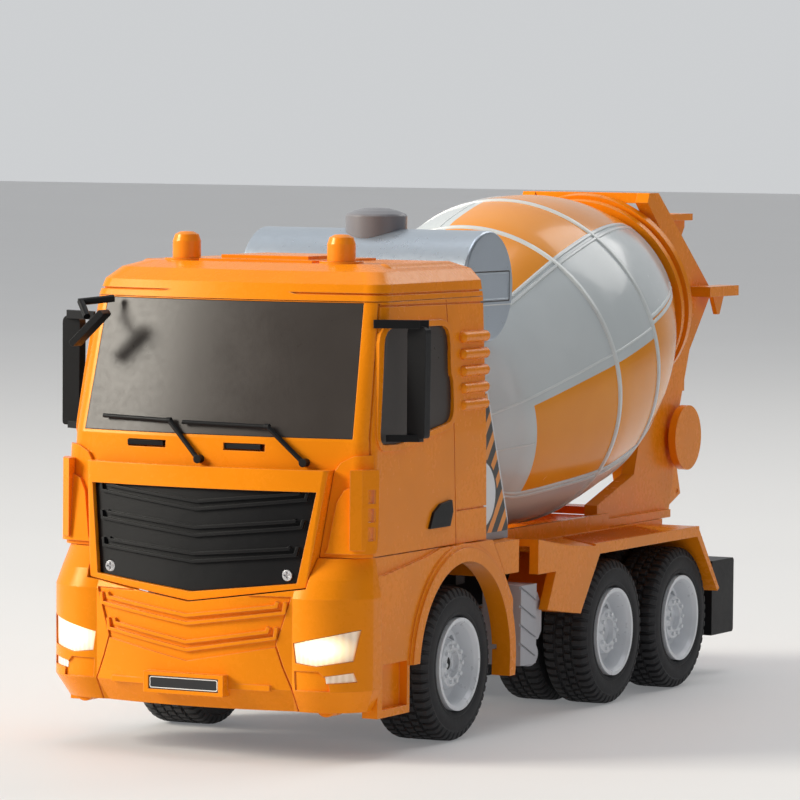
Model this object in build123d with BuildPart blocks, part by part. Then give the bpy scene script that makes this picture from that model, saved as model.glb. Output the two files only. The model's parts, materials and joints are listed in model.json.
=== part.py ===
from build123d import *
import os
from math import cos, pi, radians, sin, sqrt

os.makedirs("parts", exist_ok=True)

# Toy cement mixer truck. Millimetres. +Z up, nose towards -Y, the truck's left side is +X.
# The origin lies on the ground, under the middle of the truck's bounding box.

# ---- driving dimensions ------------------------------------------------------------------
NOSE_Y = -218.3            # front face of the number plate holder
TAIL_Y = 218.3             # rear tip of the step plates
BODY_HALF = 68.0           # half width over bumper and fenders
TYRE_R = 30.0
RIM_R = 17.5
WHEEL_OUT = 65.0           # outer face of every tyre
FRONT_AXLE_Y = -115.3
MID_AXLE_Y = 31.1
REAR_AXLE_Y = 99.8
FRONT_TYRE_W = 25.0
DUAL_TYRE_W = 20.0
DUAL_GAP = 3.0
AXLE_R = 2.0
RUNNING = 0.06             # radial clearance of a shaft in its bore
KINGPIN_X = 33.0
STEER_ARM = 14.0           # kingpin to tie rod pin
PLATE_Z = 41.0             # underside of the chassis floor
PLATE_T = 3.0
RAIL_HALF = 17.0
RAIL_TOP = 62.0
CAB_REAR_Y = -92.0
CAB_WALL = 2.2
ROOF_Z = 172.0
DECK_Z = 67.5
DECK_IN = 34.0             # inner face of the rear fenders
DRUM_TILT = 14.8           # degrees, mouth up
DRUM_O = (0, -19.0, 119.66)
DRUM_WALL = 1.8
NECK_R = 38.5
MOUTH_S = 183.0            # end of the drum's neck, along its axis
GEAR_MODULE = 0.8
GEAR_SLIM = 0.82           # tooth width against half a pitch, for backlash
TANK_Y = -61.5
TANK_Z = 174.7
TANK_R = 22.2
TANK_HALF = 50.5
POST_OUT = 30.4            # half width of the rear frame
POST_T = 6.0

TILT = radians(DRUM_TILT)
DRUM_DIR = (0, cos(TILT), sin(TILT))
DRUM_PLANE = Plane(origin=DRUM_O, x_dir=DRUM_DIR, z_dir=(1, 0, 0))
DRUM_AXIS = Axis(DRUM_O, DRUM_DIR)


# ---- helpers that work in the part being built -----------------------------------------------
def prism_x(points, x_low, x_high, mode=Mode.ADD, round_by=0):
    """A side outline (y, z) drawn across the truck from x_low to x_high."""
    with BuildSketch(Plane.YZ.offset(x_low)) as outline:
        with BuildLine():
            Polyline(*points, close=True)
        make_face()
        if round_by:
            fillet(outline.vertices(), round_by)
    extrude(outline.sketch, amount=x_high - x_low, mode=mode)


def prism_y(points, y_low, y_high, mode=Mode.ADD, round_by=0):
    """A front outline (x, z) drawn along the truck from y_low to y_high."""
    with BuildSketch(Plane.XZ.offset(-y_high)) as outline:
        with BuildLine():
            Polyline(*points, close=True)
        make_face()
        if round_by:
            fillet(outline.vertices(), round_by)
    extrude(outline.sketch, amount=y_high - y_low, mode=mode)


def prism_z(points, z_low, z_high, mode=Mode.ADD, round_by=0):
    """A plan outline (x, y) drawn upwards from z_low to z_high."""
    with BuildSketch(Plane.XY.offset(z_low)) as outline:
        with BuildLine():
            Polyline(*points, close=True)
        make_face()
        if round_by:
            fillet(outline.vertices(), round_by)
    extrude(outline.sketch, amount=z_high - z_low, mode=mode)


def block(x_low, x_high, y_low, y_high, z_low, z_high, mode=Mode.ADD):
    """A box given by its limits."""
    middle = ((x_low + x_high) / 2, (y_low + y_high) / 2, (z_low + z_high) / 2)
    with Locations(middle):
        Box(x_high - x_low, y_high - y_low, z_high - z_low, mode=mode)


def rod(start, direction, radius, length, mode=Mode.ADD):
    """A round bar from start along direction."""
    with BuildSketch(Plane(origin=start, z_dir=direction)) as disc:
        Circle(radius)
    extrude(disc.sketch, amount=length, mode=mode)


def lathe(profile, plane, axis, mode=Mode.ADD):
    """A closed profile in plane, turned about axis."""
    with BuildSketch(plane) as section:
        with BuildLine():
            Polyline(*profile, close=True)
        make_face()
    revolve(section.sketch, axis, mode=mode)


def long_bar(x, z, y_low, y_high, radius):
    """A round bar along the truck with rounded ends."""
    ends = [(0, 0), (0.14, 0.45), (0.46, 0.77), (1, 1)]
    profile = [(y_low + radius * a, radius * r) for a, r in ends]
    profile += [(y_high - radius * a, radius * r) for a, r in reversed(ends)]
    lathe(profile, Plane(origin=(x, 0, z), x_dir=(0, 1, 0), z_dir=(1, 0, 0)), Axis((x, 0, z), (0, 1, 0)))


def mirrored(points):
    """An outline's right half (x, ...) completed with its left half."""
    return points + [(-x, other) for x, other in reversed(points) if x > 0]


def rounded(corners, steps=4):
    """An outline through corners (a, b, setback), each one eased over its setback."""
    outline = []
    for k, (a, b, setback) in enumerate(corners):
        ends = []
        for other in (corners[k - 1], corners[(k + 1) % len(corners)]):
            share = setback / sqrt((other[0] - a) ** 2 + (other[1] - b) ** 2)
            ends.append((a + share * (other[0] - a), b + share * (other[1] - b)))
        for step in range(steps + 1):
            t = step / steps
            outline.append(tuple((1 - t) ** 2 * start + 2 * t * (1 - t) * corner + t ** 2 * end
                                 for start, corner, end in zip(ends[0], (a, b), ends[1])))
    return outline


def drum_point(s, r):
    """The point s along the drum's axis and r above it."""
    return (0, DRUM_O[1] + s * cos(TILT) - r * sin(TILT), DRUM_O[2] + s * sin(TILT) + r * cos(TILT))


def spur_gear(plane, teeth, width, bore_r=0):
    """A spur gear with straight-flanked teeth, the first tooth on the plane's x axis."""
    pitch_r = GEAR_MODULE * teeth / 2
    root_r = pitch_r - 1.25 * GEAR_MODULE
    half_tooth = GEAR_SLIM * pi / teeth / 2
    tip_r = pitch_r + 0.9 * GEAR_MODULE
    flank = [(root_r - 0.5, 1.7), (pitch_r, 1.0), (tip_r, 0.45)]
    upper = [(r * cos(half_tooth * k), r * sin(half_tooth * k)) for r, k in flank]
    lower = [(x, -y) for x, y in reversed(upper)]
    with BuildSketch(plane) as outline:
        Circle(root_r)
        with PolarLocations(0, teeth):
            Polygon(*(upper + lower), align=None)
        if bore_r:
            Circle(bore_r, mode=Mode.SUBTRACT)
    extrude(outline.sketch, amount=width)


# ---- chassis ---------------------------------------------------------------------------------
with BuildPart() as chassis_frame:
    floor = [(-RAIL_HALF, -196), (RAIL_HALF, -196), (RAIL_HALF, 148), (-RAIL_HALF, 148)]
    prism_z(floor, PLATE_Z, PLATE_Z + PLATE_T)
    for side in (-1, 1):
        inner, outer = sorted((side * (RAIL_HALF - 4), side * RAIL_HALF))
        block(inner, outer, -90, 148, PLATE_Z + PLATE_T, RAIL_TOP)
        block(inner, outer, -196, -90, PLATE_Z + PLATE_T, 56)
    for y in (-190, -92, -52, 0, 65, 146):
        block(-RAIL_HALF + 4, RAIL_HALF - 4, y - 2, y + 2, PLATE_Z + PLATE_T, PLATE_Z + PLATE_T + 8)
    # cab floor outrigger and bumper beam
    block(-50, 50, -196, -190, PLATE_Z, PLATE_Z + PLATE_T)
    block(-50, 50, -88, -80, RAIL_TOP - 4, RAIL_TOP)
    block(-50, 50, 144, 148, PLATE_Z - 14, RAIL_TOP)
    # axle brackets
    for y in (MID_AXLE_Y, REAR_AXLE_Y):
        for side in (-1, 1):
            inner, outer = sorted((side * 12.5, side * 16.5))
            ear = [(y - 6, PLATE_Z), (y + 6, PLATE_Z), (y + 4.5, TYRE_R - 5), (y - 4.5, TYRE_R - 5)]
            prism_x(ear, inner, outer)
        rod((-20, y, TYRE_R), (1, 0, 0), AXLE_R + RUNNING, 40, mode=Mode.SUBTRACT)
    # steering brackets: an upper and a lower arm each side, bored for the kingpin
    for side in (-1, 1):
        inner, outer = sorted((side * 12, side * (KINGPIN_X + 4.5)))
        block(inner, outer, FRONT_AXLE_Y - 5, FRONT_AXLE_Y + 5, PLATE_Z, PLATE_Z + PLATE_T)
        block(inner, outer, FRONT_AXLE_Y - 5, FRONT_AXLE_Y + 5, 17, 20)
        web_in, web_out = sorted((side * 12, side * 16))
        block(web_in, web_out, FRONT_AXLE_Y - 5, FRONT_AXLE_Y + 5, 17, PLATE_Z)
        rod((side * KINGPIN_X, FRONT_AXLE_Y, 10), (0, 0, 1), AXLE_R + RUNNING, 40, mode=Mode.SUBTRACT)
    # pocket for the drive motor and slot for the power switch
    block(-12, 13, MID_AXLE_Y - 27, MID_AXLE_Y + 12, PLATE_Z - 1, PLATE_Z + PLATE_T + 1, mode=Mode.SUBTRACT)
    block(-3, 3, -27.2, -18, PLATE_Z - 1, PLATE_Z + PLATE_T + 1, mode=Mode.SUBTRACT)


# ---- steering, wheels and axles --------------------------------------------------------------
def build_knuckle(side):
    """Steering knuckle: kingpin, hub block, stub axle and arm with the tie rod pin."""
    out = (side, 0, 0)
    rod((side * KINGPIN_X, FRONT_AXLE_Y, 15.5), (0, 0, 1), AXLE_R, 30)
    low, high = sorted((side * (KINGPIN_X - 4), side * (KINGPIN_X + 3)))
    block(low, high, FRONT_AXLE_Y - 4, FRONT_AXLE_Y + 4, 20.2, PLATE_Z - 0.2)
    rod((side * (KINGPIN_X + 2), FRONT_AXLE_Y, TYRE_R), out, AXLE_R + 0.5, 25)
    low, high = sorted((side * (KINGPIN_X - 4), side * (KINGPIN_X + 3)))
    block(low, high, FRONT_AXLE_Y, FRONT_AXLE_Y + STEER_ARM + 3, 26, 29)
    rod((side * KINGPIN_X, FRONT_AXLE_Y + STEER_ARM, 28), (0, 0, 1), 1.5, 6)


def build_rim(side, inner_x, hub_in, bore_r):
    """One-piece wheel rim: outer lip, deep dish, ring of nuts and a hub sleeve."""
    face = WHEEL_OUT
    plane = Plane(origin=(0, 0, 0), x_dir=(side, 0, 0), z_dir=(0, -side, 0))
    axis = Axis((0, 0, 0), (side, 0, 0))
    profile = [
        (inner_x, bore_r + 0.001), (inner_x, RIM_R - 1.2), (inner_x, RIM_R),
        (face - 2.2, RIM_R), (face - 2.2, RIM_R + 0.6), (face + 0.4, RIM_R + 0.6),
        (face + 0.4, RIM_R - 0.9), (face - 1.4, RIM_R - 1.8), (face - 7.0, RIM_R - 3.2),
        (face - 8.0, RIM_R - 6.6), (face - 3.0, RIM_R - 8.6), (face - 2.6, RIM_R - 12.2),
        (face - 5.0, RIM_R - 12.4), (face - 5.0, bore_r + 0.001),
    ]
    lathe(profile, plane, axis)
    nut_plane = Plane(origin=(side * (face - 3.2), 0, 0), x_dir=(0, 1, 0), z_dir=(side, 0, 0))
    with BuildSketch(nut_plane) as nuts:
        with PolarLocations(RIM_R - 10.4, 10):
            RegularPolygon(0.95, 6)
    extrude(nuts.sketch, amount=1.6)
    hole_plane = Plane(origin=(side * (face - 4.0), 0, 0), x_dir=(0, 1, 0), z_dir=(-side, 0, 0))
    with BuildSketch(hole_plane) as holes:
        with PolarLocations(RIM_R - 5.2, 8):
            SlotOverall(3.8, 2.0, rotation=90)
    extrude(holes.sketch, amount=9, mode=Mode.SUBTRACT)
    rod((side * hub_in, 0, 0), (side, 0, 0), bore_r, face - hub_in - 6.5, mode=Mode.SUBTRACT)


def tyre_ring(side, x_out, width):
    """One tyre as a ring round the x axis, with rounded shoulders and two grooves."""
    plane = Plane(origin=(0, 0, 0), x_dir=(side, 0, 0), z_dir=(0, -side, 0))
    axis = Axis((0, 0, 0), (side, 0, 0))
    x_in = x_out - width
    profile = [
        (x_in, RIM_R + 0.7), (x_in, TYRE_R - 3.0), (x_in + 1.6, TYRE_R - 0.8), (x_in + 3.4, TYRE_R),
        (x_in + 7.0, TYRE_R), (x_in + 7.0, TYRE_R - 1.5), (x_in + 8.2, TYRE_R - 1.5),
        (x_in + 8.2, TYRE_R), (x_out - 8.2, TYRE_R), (x_out - 8.2, TYRE_R - 1.5),
        (x_out - 7.0, TYRE_R - 1.5), (x_out - 7.0, TYRE_R), (x_out - 3.4, TYRE_R),
        (x_out - 1.6, TYRE_R - 0.8), (x_out, TYRE_R - 3.0), (x_out, RIM_R + 0.7),
        (x_out - 2.2, RIM_R + 0.7), (x_out - 2.2, RIM_R), (x_in, RIM_R),
    ]
    lathe(profile, plane, axis)


def placed(piece, y):
    """A wheel piece moved from the x axis to its axle."""
    with BuildPart() as moved:
        add(piece.part.moved(Location((0, y, TYRE_R))))
    return moved


front_wheels = {}
for name, side in (("left", 1), ("right", -1)):
    with BuildPart() as knuckle:
        build_knuckle(side)
    with BuildPart() as rim:
        build_rim(side, WHEEL_OUT - FRONT_TYRE_W, WHEEL_OUT - FRONT_TYRE_W - 3, AXLE_R + 0.5 + RUNNING)
    with BuildPart() as tyre:
        tyre_ring(side, WHEEL_OUT, FRONT_TYRE_W)
    front_wheels[f"knuckle_{name}"] = knuckle
    front_wheels[f"rim_front_{name}"] = placed(rim, FRONT_AXLE_Y)
    front_wheels[f"tyre_front_{name}"] = placed(tyre, FRONT_AXLE_Y)

with BuildPart() as tie_rod:
    pin_y = FRONT_AXLE_Y + STEER_ARM
    block(-KINGPIN_X - 4, KINGPIN_X + 4, pin_y - 5, pin_y + 4, 29.4, 32.4)
    for side in (-1, 1):
        slot = [(side * KINGPIN_X - 1.9, pin_y - 3), (side * KINGPIN_X + 1.9, pin_y - 3),
                (side * KINGPIN_X + 1.9, pin_y + 1.9), (side * KINGPIN_X - 1.9, pin_y + 1.9)]
        prism_z(slot, 29, 33, mode=Mode.SUBTRACT)
    block(-2, 2, pin_y + 3.5, pin_y + 8, 29.4, 32.4)

DUAL_IN = WHEEL_OUT - 2 * DUAL_TYRE_W - DUAL_GAP
with BuildPart() as dual_rims:
    for side in (-1, 1):
        build_rim(side, DUAL_IN, DUAL_IN - 3, AXLE_R)
with BuildPart() as dual_tyres:
    for side in (-1, 1):
        tyre_ring(side, WHEEL_OUT, DUAL_TYRE_W)
        tyre_ring(side, WHEEL_OUT - DUAL_TYRE_W - DUAL_GAP, DUAL_TYRE_W)
with BuildPart() as axle:
    rod((-(WHEEL_OUT - 6.5), 0, 0), (1, 0, 0), AXLE_R, 2 * (WHEEL_OUT - 6.5))
tandem = {}
for name, y in (("mid", MID_AXLE_Y), ("rear", REAR_AXLE_Y)):
    tandem[f"axle_{name}"] = placed(axle, y)
    tandem[f"rims_{name}"] = placed(dual_rims, y)
    tandem[f"tyres_{name}"] = placed(dual_tyres, y)

# ---- drive train -----------------------------------------------------------------------------
AXLE_TEETH = 24
MOTOR_TEETH = 12
MOTOR_Y = MID_AXLE_Y - GEAR_MODULE * (AXLE_TEETH + MOTOR_TEETH) / 2
with BuildPart() as axle_gear:
    gear_plane = Plane(origin=(-5, MID_AXLE_Y, TYRE_R), x_dir=(0, -1, 0), z_dir=(1, 0, 0))
    spur_gear(gear_plane, AXLE_TEETH, 5, AXLE_R)
with BuildPart() as drive_pinion:
    # half a tooth turned, so that a gap faces the axle gear
    half_pitch = radians(180 / MOTOR_TEETH)
    turned = (0, cos(half_pitch), sin(half_pitch))
    spur_gear(Plane(origin=(-5, MOTOR_Y, TYRE_R), x_dir=turned, z_dir=(1, 0, 0)), MOTOR_TEETH, 5, 1.0)
    rod((-5, MOTOR_Y, TYRE_R), (1, 0, 0), 1.0, 7)
with BuildPart() as drive_motor:
    rod((1, MOTOR_Y, TYRE_R), (1, 0, 0), 10, 11)
    rod((1, MOTOR_Y, TYRE_R), (1, 0, 0), 1.0 + RUNNING, 2, mode=Mode.SUBTRACT)
    block(0, 13, MOTOR_Y - 11, MOTOR_Y + 11, TYRE_R + 8, TYRE_R + 11, mode=Mode.SUBTRACT)
    block(0, 13, MOTOR_Y - 11, MOTOR_Y + 11, TYRE_R - 11, TYRE_R - 8, mode=Mode.SUBTRACT)
with BuildPart() as gearbox_cover:
    block(-12, 12.4, MID_AXLE_Y - 27, MID_AXLE_Y + 12, 17, PLATE_Z)
    block(-10.5, 12.4, MID_AXLE_Y - 25.5, MID_AXLE_Y + 12, 18.5, PLATE_Z, mode=Mode.SUBTRACT)
    rod((-20, MID_AXLE_Y, TYRE_R), (1, 0, 0), AXLE_R + 0.5, 40, mode=Mode.SUBTRACT)
with BuildPart() as battery_pack:
    for x in (-6, 6):
        rod((x, -80, 57), (0, 1, 0), 4.7, 44)
    block(-11, 11, -74, -42, 52.2, 61.8)
with BuildPart() as circuit_board:
    block(-12.5, 12.5, 4, 58, 53, 54.6)
    for x, y, size in ((-5, 14, 7), (6, 26, 5), (-4, 40, 9), (7, 50, 4)):
        block(x - size / 2, x + size / 2, y - size / 2, y + size / 2, 54.6, 56.6)
with BuildPart() as power_switch:
    block(-2.4, 2.4, -26.8, -21.2, PLATE_Z - 2.4, PLATE_Z + PLATE_T + 1.2)
    block(-5, 5, -28.4, -19.6, PLATE_Z + PLATE_T + 0.2, PLATE_Z + PLATE_T + 1.4)
with BuildPart() as steering_servo:
    block(-11, 11, -100, -84, 34, PLATE_Z)
    rod((0, -90, 33), (0, 0, 1), 3, 1)

# ---- cab -------------------------------------------------------------------------------------
def plan_face(z, half, side_y, flat_half, flat_y, bulge, rear_y, cut=0.0):
    """Plan section at height z: straight sides, rounded front corners and a bowed front."""
    half, flat_half, rear_y = half - cut, flat_half - cut, rear_y - cut
    side_y, flat_y = side_y + cut, flat_y + cut
    mid_x = half - 0.22 * (half - flat_half)
    mid_y = side_y + 0.66 * (flat_y - side_y)
    with BuildSketch(Plane.XY.offset(z)) as section:
        with BuildLine():
            Line((-half, rear_y), (half, rear_y))
            Line((half, rear_y), (half, side_y))
            ThreePointArc((half, side_y), (mid_x, mid_y), (flat_half, flat_y))
            ThreePointArc((flat_half, flat_y), (0, flat_y - bulge), (-flat_half, flat_y))
            ThreePointArc((-flat_half, flat_y), (-mid_x, mid_y), (-half, side_y))
            Line((-half, side_y), (-half, rear_y))
        make_face()
    return section.sketch


def plan_loft(levels, cut=0.0, mode=Mode.ADD):
    """A body through several plan sections, each cut back by the same amount."""
    loft([plan_face(*level, cut=cut) for level in levels], ruled=True, mode=mode)


#              z     half   side_y  flat_half flat_y bulge rear_y
CAB_LEVELS = [(77.0, 65.0, -187.0, 57.0, -197.0, 6.5, CAB_REAR_Y),
              (120.0, 64.5, -184.0, 57.0, -193.5, 6.5, CAB_REAR_Y),
              (172.0, 62.5, -171.5, 55.0, -180.0, 6.5, CAB_REAR_Y)]
ROOF_LEVELS = [(172.2, 62.5, -171.5, 55.0, -180.4, 6.5, CAB_REAR_Y),
               (178.5, 61.4, -168.0, 54.0, -177.5, 6.5, CAB_REAR_Y),
               (183.0, 57.5, -163.0, 49.0, -171.5, 6.0, CAB_REAR_Y - 1),
               (185.6, 50.0, -156.0, 42.0, -163.5, 5.0, CAB_REAR_Y - 5)]
MASK_LEVELS = [(56.0, 48.0, -204.0, 45.0, -209.5, 5.0, -192.0),
               (112.0, 53.0, -197.0, 50.5, -202.0, 5.5, -190.0)]
BUMPER_LEVELS = [(19.0, 64.0, -192.0, 40.0, -204.0, 5.0, -182.0),
                 (27.5, BODY_HALF, -194.7, 42.0, -210.0, 5.5, -182.0),
                 (62.0, BODY_HALF, -194.7, 42.0, -210.5, 5.5, -182.0),
                 (69.0, 66.6, -192.5, 42.0, -207.0, 5.2, -182.0),
                 (76.8, 65.2, -190.0, 42.0, -201.0, 5.0, -182.0)]
WINDSHIELD = mirrored([(57.7, 121.1), (55.3, ROOF_Z - 0.4)])
SIDE_WINDOW = rounded([(-185.5, 118.7, 5), (-168, 118.2, 4), (-121.7, 124.9, 6), (-121.7, 140.5, 1),
                       (-123.4, 143.5, 1), (-123.4, 161.8, 7), (-178.0, 162.2, 6)])
DOOR_FRONT = [(-177.5, 171.5), (-189.5, 121), (-191.5, 77)]
DOOR_REAR = [(-124.7, 171.5), (-120.6, 124.5), (-119.0, 77)]
MASK = [(51.9, 109.6), (46.4, 66.0), (0, 59.5), (-46.4, 66.0), (-51.9, 109.6)]
GRILLE = [(48.2, 101.5), (42.8, 67.5), (0, 62.8), (-42.8, 67.5), (-48.2, 101.5)]
V_INSERT = [(41.5, 62.5), (35.5, 43.5), (0, 36.8), (-35.5, 43.5), (-41.5, 62.5)]
LAMP_PANEL = [(43.0, 35.0), (53.0, 35.2), (56.5, 31.5), (57.0, 27.8), (43.4, 27.8)]
HEADLIGHT = [(42.5, 45.3), (65.8, 50.7), (64.0, 39.0), (52.0, 37.0), (43.5, 38.0)]
FOG_LIGHT = [(55.0, 33.4), (64.0, 34.8), (65.0, 31.2), (55.4, 30.6)]
FRONT_Y = -225.0
SCREW_Z = 70.2
GAP = 0.15                 # clearance round a panel in its opening


def flipped(points):
    """The mirror image of a front outline."""
    return [(-x, z) for x, z in points]


def front_y(levels, x, z):
    """Y of a lofted body's bowed front at x, z."""
    for low, high in zip(levels, levels[1:]):
        if low[0] <= z <= high[0]:
            share = (z - low[0]) / (high[0] - low[0])
            half, middle_y, bulge = (low[k] + share * (high[k] - low[k]) for k in (3, 4, 5))
            bow_r = (half ** 2 + bulge ** 2) / (2 * bulge)
            return middle_y - bulge + bow_r - sqrt(bow_r ** 2 - x ** 2)


def surface_lines(levels, top, bottom, lines, width, from_side=False):
    """Strips of the layer between two offsets of a lofted surface, along lines in front or side view."""
    plane = Plane.YZ.offset(-80) if from_side else Plane.XZ.offset(190)
    with BuildPart() as layer:
        plan_loft(levels, cut=top)
        plan_loft(levels, cut=bottom, mode=Mode.SUBTRACT)
        with BuildSketch(plane) as strokes:
            for line in lines:
                with BuildLine():
                    Polyline(*line)
                trace(line_width=width)
        extrude(strokes.sketch, amount=160 if from_side else 40, mode=Mode.INTERSECT)
    return layer.part


def surface_patch(levels, top, bottom, outlines, from_side=False, grow=0.0, inner=0.0):
    """Patches of such a layer inside closed outlines; with inner, only a frame that wide is kept."""
    plane = Plane.YZ.offset(-80) if from_side else Plane.XZ.offset(190)
    with BuildPart() as layer:
        plan_loft(levels, cut=top)
        plan_loft(levels, cut=bottom, mode=Mode.SUBTRACT)
        with BuildSketch(plane) as patches:
            for outline in outlines:
                with BuildLine():
                    Polyline(*outline, close=True)
                make_face()
            if grow:
                offset(amount=grow)
            if inner:
                offset(amount=-inner, mode=Mode.SUBTRACT)
        extrude(patches.sketch, amount=160 if from_side else 40, mode=Mode.INTERSECT)
    return layer.part


def both(line):
    """A line drawn for the right half, joined with its mirror image across the centre."""
    return [(-x, z) for x, z in line] + [(x, z) for x, z in reversed(line) if x > 0]


def v_rib(end_x, end_z, centre_z, curl, pitch):
    """Two nested V lines with upturned ends, as (x, z) lines."""
    outer = both([(end_x, end_z + curl), (end_x - 0.6, end_z), (0, centre_z)])
    inner = both([(end_x - pitch, end_z + curl), (end_x - pitch - 0.6, end_z + pitch * 0.75),
                  (0, centre_z + pitch)])
    return [outer, inner]


door_gaps = surface_lines(CAB_LEVELS, -1, 0.8, [DOOR_FRONT, DOOR_REAR, [(-118.6, 90), (-90, 90)],
                                                [(-178, 170.6), (-90, 169.8)]], 0.7, from_side=True)
window_rims = surface_patch(CAB_LEVELS, -0.8, 0.4, [SIDE_WINDOW], from_side=True, grow=2.3, inner=2.3)
RIB_ZS = (130.3, 136.9, 143.5, 150.1, 156.7)
COWL_SLOTS = (-27.3, 15.2)
with BuildPart() as cab_shell:
    plan_loft(CAB_LEVELS)
    plan_loft([(76.0, *CAB_LEVELS[0][1:]), CAB_LEVELS[1], (171.0, *CAB_LEVELS[2][1:])], cut=CAB_WALL,
              mode=Mode.SUBTRACT)
    prism_y(WINDSHIELD, FRONT_Y, -160, mode=Mode.SUBTRACT)
    prism_y([(x * 0.93, z) for x, z in GRILLE if z > 70] + [(-40, 78), (40, 78)], FRONT_Y, -185,
            mode=Mode.SUBTRACT)
    add(door_gaps, mode=Mode.SUBTRACT)
    add(window_rims)
    prism_x(SIDE_WINDOW, -70, 70, mode=Mode.SUBTRACT)
    # air slots under the windshield
    for x in COWL_SLOTS:
        block(x - 8.6, x + 8.6, FRONT_Y, -190, 115.6, 118.4, mode=Mode.SUBTRACT)
    # rounded ribs on the rear corners
    for side in (-1, 1):
        for z in RIB_ZS:
            long_bar(side * 63.4, z, -114.2, -89.4, 2.2)
with BuildPart() as windshield:
    plan_loft(CAB_LEVELS, cut=-0.1)
    plan_loft(CAB_LEVELS, cut=CAB_WALL - 0.4, mode=Mode.SUBTRACT)
    prism_y([(x - GAP if x > 0 else x + GAP, z + (GAP if z < 150 else -GAP)) for x, z in WINDSHIELD],
            FRONT_Y, -160, mode=Mode.INTERSECT)
    prism_x(SIDE_WINDOW, -70, 70, mode=Mode.SUBTRACT)
with BuildPart() as side_windows:
    plan_loft(CAB_LEVELS, cut=0.6)
    plan_loft(CAB_LEVELS, cut=CAB_WALL, mode=Mode.SUBTRACT)
    with BuildSketch(Plane.YZ.offset(-70)) as pane:
        with BuildLine():
            Polyline(*SIDE_WINDOW, close=True)
        make_face()
        offset(amount=-GAP)
    extrude(pane.sketch, amount=140, mode=Mode.INTERSECT)
with BuildPart() as roof_panel:
    plan_loft(ROOF_LEVELS)
    plan_loft([(171.0, *ROOF_LEVELS[0][1:]), ROOF_LEVELS[1], (181.0, *ROOF_LEVELS[2][1:])], cut=2.2,
              mode=Mode.SUBTRACT)
    for side in (-1, 1):
        long_bar(side * 51, 181.2, -160.6, -96, 4.6)
    seam = surface_lines(ROOF_LEVELS, -1, 0.8, [[(-184, 174.9), (-90, 174.4)]], 0.7, from_side=True)
    add(seam, mode=Mode.SUBTRACT)
    block(-24.6, 24.6, -163.7, -110, 184.5, 186.6)
    block(-19, 19, -156, -118, 186.6, 188.0)
    for x in (-33.7, 33.7):
        with Locations((x, -157, 185.3)):
            Cylinder(8.5, 2.2)
with BuildPart() as beacons:
    for x in (-33.7, 33.7):
        rod((x, -157, 186.4), (0, 0, 1), 5.5, 6.6)
        lathe([(x, 193), (x + 5.5, 193), (x + 4.6, 195.6), (x + 2.6, 196.6), (x, 196.8)],
              Plane.XZ.offset(157), Axis((x, -157, 0), (0, 0, 1)))
with BuildPart() as grille_surround:
    plan_loft(MASK_LEVELS)
    plan_loft([(55.0, *MASK_LEVELS[0][1:]), (113.0, *MASK_LEVELS[1][1:])], cut=3.4, mode=Mode.SUBTRACT)
    prism_y(MASK, FRONT_Y, -160, mode=Mode.INTERSECT)
    prism_y(GRILLE, FRONT_Y, -160, mode=Mode.SUBTRACT)
    plan_loft(CAB_LEVELS, mode=Mode.SUBTRACT)
grille_lines = (v_rib(44.4, 98.6, 93.6, 2.6, 2.9) + v_rib(43.4, 88.3, 83.8, 2.8, 2.9)
                + v_rib(41.8, 78.0, 74.0, 3.0, 2.9))
grille_ribs = surface_lines(MASK_LEVELS, 0.6, 1.9, grille_lines, 1.1)
with BuildPart() as grille:
    plan_loft(MASK_LEVELS, cut=1.8)
    plan_loft([(55.0, *MASK_LEVELS[0][1:]), (113.0, *MASK_LEVELS[1][1:])], cut=3.6, mode=Mode.SUBTRACT)
    add(grille_ribs)
    with BuildSketch(Plane.XZ.offset(150)) as opening:
        with BuildLine():
            Polyline(*GRILLE, close=True)
        make_face()
        offset(amount=-GAP)
    extrude(opening.sketch, amount=75, mode=Mode.INTERSECT)
    plan_loft(CAB_LEVELS, mode=Mode.SUBTRACT)
    for x in (-38, 38):
        rod((x, -220, SCREW_Z), (0, 1, 0), 2.2, 14, mode=Mode.SUBTRACT)
        rod((x, -220, SCREW_Z), (0, 1, 0), 1.25, 40, mode=Mode.SUBTRACT)
    block(-50, 50, -197, -180, 55, 115, mode=Mode.SUBTRACT)
with BuildPart() as grille_screws:
    for x in (-38, 38):
        rod((x, -207.4, SCREW_Z), (0, 1, 0), 2.1, 1.4)
        rod((x, -206.4, SCREW_Z), (0, 1, 0), 1.2, 9)
        block(x - 1.4, x + 1.4, -208, -206.7, SCREW_Z - 0.3, SCREW_Z + 0.3, mode=Mode.SUBTRACT)
        block(x - 0.3, x + 0.3, -208, -206.7, SCREW_Z - 1.4, SCREW_Z + 1.4, mode=Mode.SUBTRACT)
bumper_cuts = surface_patch(BUMPER_LEVELS, -1, 0.7, [V_INSERT, LAMP_PANEL, flipped(LAMP_PANEL)])
split = [(41.2, 62.0), (35.6, 44.5), (38.5, 36), (42.0, 27.7), (42.0, 19.2)]
bumper_gaps = surface_lines(BUMPER_LEVELS, -1, 0.9, [split, flipped(split)], 0.6)
bumper_lines = v_rib(39.6, 56.6, 51.0, 4.0, 3.0) + v_rib(36.2, 47.0, 41.0, 4.0, 3.0)
bumper_ribs = surface_lines(BUMPER_LEVELS, -0.5, 0.9, bumper_lines, 1.3)
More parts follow.
